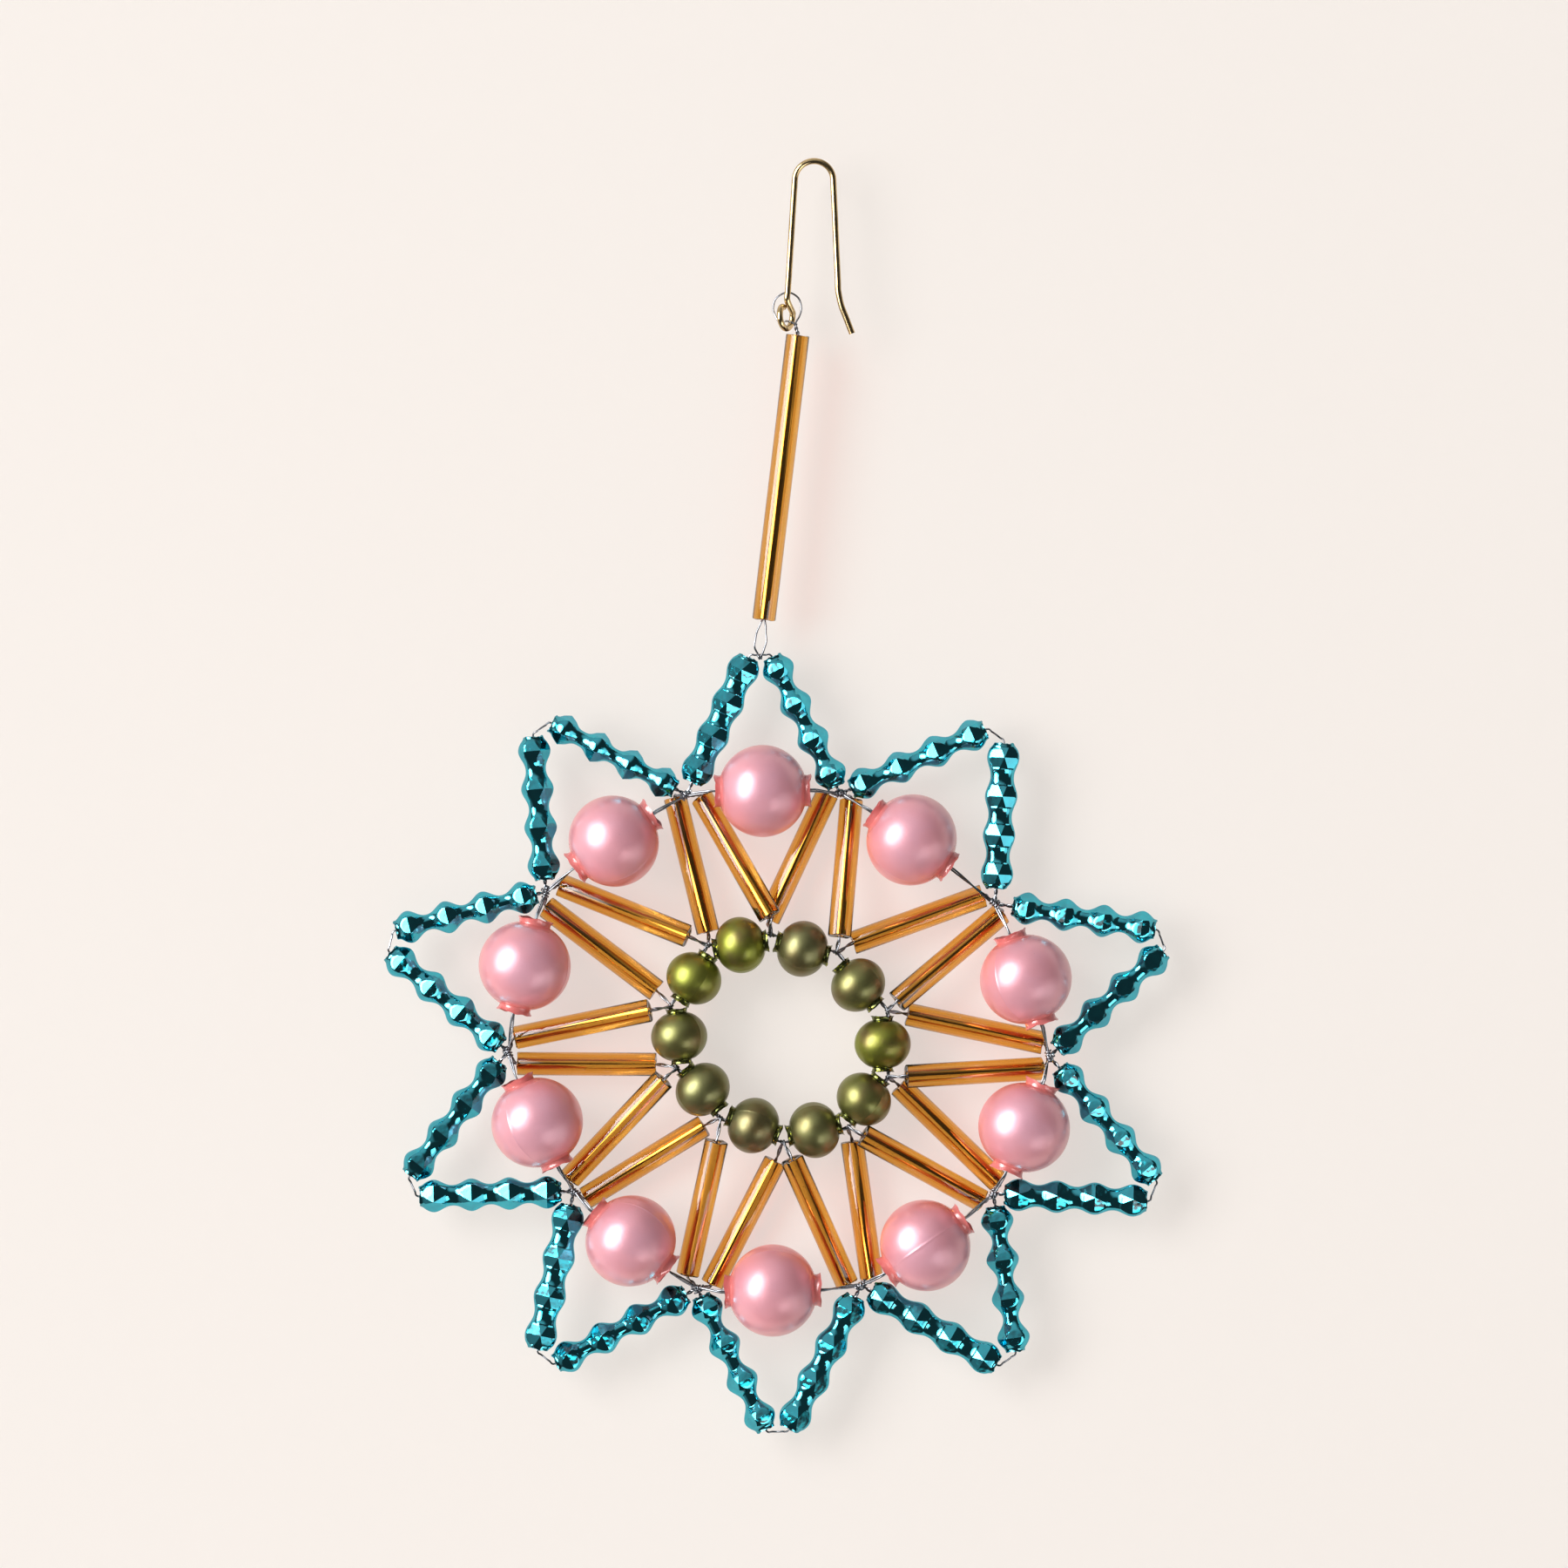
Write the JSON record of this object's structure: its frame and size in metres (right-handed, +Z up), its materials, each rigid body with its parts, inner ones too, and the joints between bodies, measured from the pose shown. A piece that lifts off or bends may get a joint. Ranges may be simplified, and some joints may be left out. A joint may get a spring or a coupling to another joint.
{
  "type": "star ornament",
  "caption": "Hanging star ornament: a wire hook, a long gold glass tube, and a star of teal faceted rods, pink pearls, gold tubes and green beads on steel wire.",
  "frame": {"origin": "underside of the bend of the hook, where the ornament hangs", "axes": "+Z up along the hook and the hanger; the star lies in the XZ plane and faces -Y; +X to the right as seen from the front"},
  "size_m": [0.1003, 0.012, 0.1628],
  "materials": {
    "hook_wire": "polished",
    "steel_wire": "dark drawn wire",
    "gold_glass": "amber glass with a silver-lined bore",
    "teal_glass": "teal lacquered, mirrored glass with facets",
    "pink_pearl": "pink pearl lacquer, satin",
    "green_pearl": "olive metallic lacquer, satin"
  },
  "bodies": {
    "hook": {"hook": "hook_wire"},
    "hanger": {"hanger_wire": "steel_wire"},
    "hanger_tube": {"hanger_tube": "gold_glass"},
    "star": {"gold_spoke_01": "gold_glass", "gold_spoke_02": "gold_glass", "gold_spoke_03": "gold_glass", "gold_spoke_04": "gold_glass", "gold_spoke_05": "gold_glass", "gold_spoke_06": "gold_glass", "gold_spoke_07": "gold_glass", "gold_spoke_08": "gold_glass", "gold_spoke_09": "gold_glass", "gold_spoke_10": "gold_glass", "gold_spoke_11": "gold_glass", "gold_spoke_12": "gold_glass", "gold_spoke_13": "gold_glass", "gold_spoke_14": "gold_glass", "gold_spoke_15": "gold_glass", "gold_spoke_16": "gold_glass", "gold_spoke_17": "gold_glass", "gold_spoke_18": "gold_glass", "gold_spoke_19": "gold_glass", "gold_spoke_20": "gold_glass", "inner_ring_wire": "steel_wire", "pearl_ring_wire": "steel_wire", "spoke_wire": "steel_wire", "star_point_01": "teal_glass", "star_point_02": "teal_glass", "star_point_03": "teal_glass", "star_point_04": "teal_glass", "star_point_05": "teal_glass", "star_point_06": "teal_glass", "star_point_07": "teal_glass", "star_point_08": "teal_glass", "star_point_09": "teal_glass", "star_point_10": "teal_glass"},
    "pink_pearl_01": {"pink_pearl_01": "pink_pearl"},
    "pink_pearl_02": {"pink_pearl_02": "pink_pearl"},
    "pink_pearl_03": {"pink_pearl_03": "pink_pearl"},
    "pink_pearl_04": {"pink_pearl_04": "pink_pearl"},
    "pink_pearl_05": {"pink_pearl_05": "pink_pearl"},
    "pink_pearl_06": {"pink_pearl_06": "pink_pearl"},
    "pink_pearl_07": {"pink_pearl_07": "pink_pearl"},
    "pink_pearl_08": {"pink_pearl_08": "pink_pearl"},
    "pink_pearl_09": {"pink_pearl_09": "pink_pearl"},
    "pink_pearl_10": {"pink_pearl_10": "pink_pearl"},
    "green_bead_01": {"green_bead_01": "green_pearl"},
    "green_bead_02": {"green_bead_02": "green_pearl"},
    "green_bead_03": {"green_bead_03": "green_pearl"},
    "green_bead_04": {"green_bead_04": "green_pearl"},
    "green_bead_05": {"green_bead_05": "green_pearl"},
    "green_bead_06": {"green_bead_06": "green_pearl"},
    "green_bead_07": {"green_bead_07": "green_pearl"},
    "green_bead_08": {"green_bead_08": "green_pearl"},
    "green_bead_09": {"green_bead_09": "green_pearl"},
    "green_bead_10": {"green_bead_10": "green_pearl"}
  },
  "joints": [
    {"name": "ring_swing", "type": "hinge", "parent": "hook", "child": "hanger", "pos_m": [-0.00347, 0, -0.02001], "axis": [0, 1, 0], "range_deg": [-15, 15]},
    {"name": "long_tube_spin", "type": "hinge", "parent": "hanger", "child": "hanger_tube", "pos_m": [-0.00424, 0, -0.03998], "axis": [-0.1184, 0, -0.993], "continuous": true},
    {"name": "star_swing", "type": "hinge", "parent": "hanger", "child": "star", "pos_m": [-0.0069, 0, -0.06278], "axis": [1, 0, 0], "range_deg": [-30, 30]},
    {"name": "pink_pearl_01_spin", "type": "hinge", "parent": "star", "child": "pink_pearl_01", "pos_m": [-0.00655, -0.0011, -0.07992], "axis": [1, 0, 0.0081], "continuous": true},
    {"name": "pink_pearl_02_spin", "type": "hinge", "parent": "star", "child": "pink_pearl_02", "pos_m": [0.01241, -0.0011, -0.0862], "axis": [0.8142, 0, -0.5806], "continuous": true},
    {"name": "pink_pearl_03_spin", "type": "hinge", "parent": "star", "child": "pink_pearl_03", "pos_m": [0.02696, -0.0011, -0.10394], "axis": [0.3351, 0, -0.9422], "continuous": true},
    {"name": "pink_pearl_04_spin", "type": "hinge", "parent": "star", "child": "pink_pearl_04", "pos_m": [0.0268, -0.0011, -0.12284], "axis": [-0.3788, 0, -0.9255], "continuous": true},
    {"name": "pink_pearl_05_spin", "type": "hinge", "parent": "star", "child": "pink_pearl_05", "pos_m": [0.01417, -0.0011, -0.13787], "axis": [-0.8221, 0, -0.5694], "continuous": true},
    {"name": "pink_pearl_06_spin", "type": "hinge", "parent": "star", "child": "pink_pearl_06", "pos_m": [-0.00527, -0.0011, -0.14364], "axis": [-0.9999, 0, -0.0167], "continuous": true},
    {"name": "pink_pearl_07_spin", "type": "hinge", "parent": "star", "child": "pink_pearl_07", "pos_m": [-0.02338, -0.0011, -0.1373], "axis": [-0.7868, 0, 0.6172], "continuous": true},
    {"name": "pink_pearl_08_spin", "type": "hinge", "parent": "star", "child": "pink_pearl_08", "pos_m": [-0.03528, -0.0011, -0.12221], "axis": [-0.4249, 0, 0.9052], "continuous": true},
    {"name": "pink_pearl_09_spin", "type": "hinge", "parent": "star", "child": "pink_pearl_09", "pos_m": [-0.03686, -0.0011, -0.10222], "axis": [0.2319, 0, 0.9727], "continuous": true},
    {"name": "pink_pearl_10_spin", "type": "hinge", "parent": "star", "child": "pink_pearl_10", "pos_m": [-0.02554, -0.0011, -0.08632], "axis": [0.8226, 0, 0.5686], "continuous": true},
    {"name": "green_bead_01_spin", "type": "hinge", "parent": "star", "child": "green_bead_01", "pos_m": [-0.00148, 0, -0.10007], "axis": [0.9656, 0, -0.2601], "continuous": true},
    {"name": "green_bead_02_spin", "type": "hinge", "parent": "star", "child": "green_bead_02", "pos_m": [0.00563, 0, -0.10469], "axis": [0.6589, 0, -0.7522], "continuous": true},
    {"name": "green_bead_03_spin", "type": "hinge", "parent": "star", "child": "green_bead_03", "pos_m": [0.00873, 0, -0.11221], "axis": [0.0058, 0, -1], "continuous": true},
    {"name": "green_bead_04_spin", "type": "hinge", "parent": "star", "child": "green_bead_04", "pos_m": [0.00635, 0, -0.11925], "axis": [-0.6229, 0, -0.7823], "continuous": true},
    {"name": "green_bead_05_spin", "type": "hinge", "parent": "star", "child": "green_bead_05", "pos_m": [0.00003, 0, -0.12318], "axis": [-0.9747, 0, -0.2234], "continuous": true},
    {"name": "green_bead_06_spin", "type": "hinge", "parent": "star", "child": "green_bead_06", "pos_m": [-0.00772, 0, -0.1226], "axis": [-0.9326, 0, 0.3609], "continuous": true},
    {"name": "green_bead_07_spin", "type": "hinge", "parent": "star", "child": "green_bead_07", "pos_m": [-0.01422, 0, -0.11803], "axis": [-0.651, 0, 0.7591], "continuous": true},
    {"name": "green_bead_08_spin", "type": "hinge", "parent": "star", "child": "green_bead_08", "pos_m": [-0.01721, 0, -0.11125], "axis": [-0.0983, 0, 0.9952], "continuous": true},
    {"name": "green_bead_09_spin", "type": "hinge", "parent": "star", "child": "green_bead_09", "pos_m": [-0.01531, 0, -0.10385], "axis": [0.5216, 0, 0.8532], "continuous": true},
    {"name": "green_bead_10_spin", "type": "hinge", "parent": "star", "child": "green_bead_10", "pos_m": [-0.00941, 0, -0.09961], "axis": [0.9865, 0, 0.1639], "continuous": true}
  ]
}
